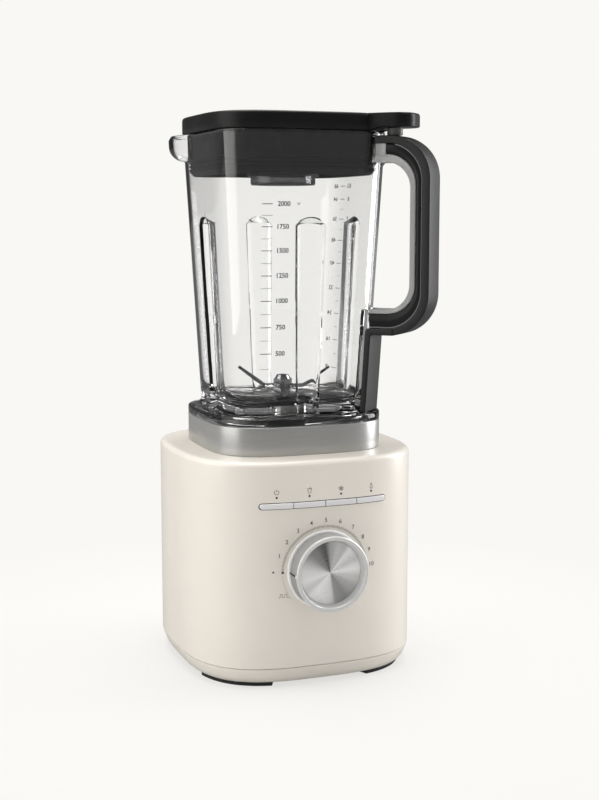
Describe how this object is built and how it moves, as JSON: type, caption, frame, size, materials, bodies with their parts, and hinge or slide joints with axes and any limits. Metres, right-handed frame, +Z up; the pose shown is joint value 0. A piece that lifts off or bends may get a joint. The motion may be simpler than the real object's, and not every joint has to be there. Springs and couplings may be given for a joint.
{
  "type": "countertop blender",
  "caption": "Countertop blender with a square motor base, a speed dial, a row of push keys, and a clear lift-off jar with a handle, blades, lid and measuring cap.",
  "frame": {"origin": "where the drive axis meets the worktop, at the level of the feet", "axes": "+Z up along the drive axis, -Y is the front with the dial, +X is the right seen from the front"},
  "size_m": [0.1937, 0.2084, 0.4366],
  "materials": {
    "cream_shell": "satin warm white enamel",
    "foot_rubber": "matte",
    "collar_metal": "satin",
    "pad_rubber": "matte",
    "dark_plastic": "moulded",
    "white_plastic": "moulded",
    "circuit_board": "lacquered board",
    "lamp_lens": "dark lens",
    "motor_iron": "laminated, varnished",
    "copper_wire": "enamelled copper",
    "cast_alloy": "die cast",
    "bearing_steel": "ground",
    "brass": "pressed",
    "carbon": "carbon",
    "screw_steel": "zinc plated",
    "dial_metal": "satin ring with a radially brushed dish",
    "key_silver": "silver satin",
    "jar_clear": "clear copolyester",
    "grip_black": "soft touch",
    "blade_steel": "polished edges",
    "lid_black": "satin moulded",
    "gasket_rubber": "silicone",
    "cap_clear": "smoked clear"
  },
  "bodies": {
    "base": {"housing": "cream_shell", "base_pan": "cream_shell", "foot_front_left": "foot_rubber", "foot_front_right": "foot_rubber", "foot_rear_left": "foot_rubber", "foot_rear_right": "foot_rubber", "collar": "collar_metal", "seat_pad": "pad_rubber", "dial_bezel": "cream_shell", "key_frame": "dark_plastic", "key_board": "circuit_board", "key_switches": "dark_plastic", "indicator_lamps": "lamp_lens", "dial_encoder": "dark_plastic", "control_board": "circuit_board", "motor_stator": "motor_iron", "field_coils": "copper_wire", "upper_bracket": "cast_alloy", "lower_bracket": "cast_alloy", "upper_bearing": "bearing_steel", "lower_bearing": "bearing_steel", "brush_holders": "brass", "carbon_brushes": "carbon", "brush_springs": "bearing_steel", "motor_mounts": "pad_rubber", "fan_shroud": "dark_plastic", "cord_inlet": "pad_rubber", "motor_screws": "screw_steel", "housing_screws": "screw_steel"},
    "rotor": {"motor_shaft": "bearing_steel", "rotor_core": "motor_iron", "rotor_windings": "copper_wire", "commutator": "copper_wire", "cooling_fan": "white_plastic", "drive_coupler": "dark_plastic"},
    "speed_dial": {"dial": "dial_metal", "dial_insert": "dial_metal", "dial_shaft": "screw_steel"},
    "power_key": {"key_power": "key_silver"},
    "smoothie_key": {"key_smoothie": "key_silver"},
    "ice_key": {"key_ice": "key_silver"},
    "clean_key": {"key_clean": "key_silver"},
    "jar_unit": {"jar": "jar_clear", "handle_grip": "grip_black", "handle_screws": "screw_steel", "blade_housing": "cast_alloy", "blade_bearings": "bearing_steel", "shaft_seal": "pad_rubber"},
    "blades": {"blade_shaft": "blade_steel", "lower_blade": "blade_steel", "upper_blade": "blade_steel", "blade_nut": "blade_steel", "driven_coupler": "dark_plastic"},
    "lid_unit": {"lid": "lid_black", "lid_gasket": "gasket_rubber"},
    "measuring_cap": {"centre_cap": "cap_clear", "cap_seal": "gasket_rubber"}
  },
  "joints": [
    {"name": "drive_spin", "type": "hinge", "parent": "base", "child": "rotor", "pos_m": [0, 0, 0.1], "axis": [0, 0, 1], "continuous": true},
    {"name": "blade_spin", "type": "hinge", "parent": "jar_unit", "child": "blades", "pos_m": [0, 0, 0.21], "axis": [0, 0, 1], "continuous": true},
    {"name": "jar_lift", "type": "slide", "parent": "base", "child": "jar_unit", "axis": [0, 0, 1], "range_m": [0, 0.06]},
    {"name": "lid_lift", "type": "slide", "parent": "jar_unit", "child": "lid_unit", "axis": [0, 0, 1], "range_m": [0, 0.06]},
    {"name": "cap_lift", "type": "slide", "parent": "lid_unit", "child": "measuring_cap", "axis": [0, 0, 1], "range_m": [0, 0.06]},
    {"name": "dial_turn", "type": "hinge", "parent": "base", "child": "speed_dial", "pos_m": [0, -0.1, 0.091], "axis": [0, 1, 0], "range_deg": [-32, 178]},
    {"name": "power_press", "type": "slide", "parent": "base", "child": "power_key", "axis": [0, 1, 0], "range_m": [0, 0.0012], "stiffness_N_per_m": 400},
    {"name": "smoothie_press", "type": "slide", "parent": "base", "child": "smoothie_key", "axis": [0, 1, 0], "range_m": [0, 0.0012], "stiffness_N_per_m": 400},
    {"name": "ice_press", "type": "slide", "parent": "base", "child": "ice_key", "axis": [0, 1, 0], "range_m": [0, 0.0012], "stiffness_N_per_m": 400},
    {"name": "clean_press", "type": "slide", "parent": "base", "child": "clean_key", "axis": [0, 1, 0], "range_m": [0, 0.0012], "stiffness_N_per_m": 400}
  ],
  "couplings": [
    {"joint": "blade_spin", "follows": "drive_spin", "ratio": 1}
  ]
}
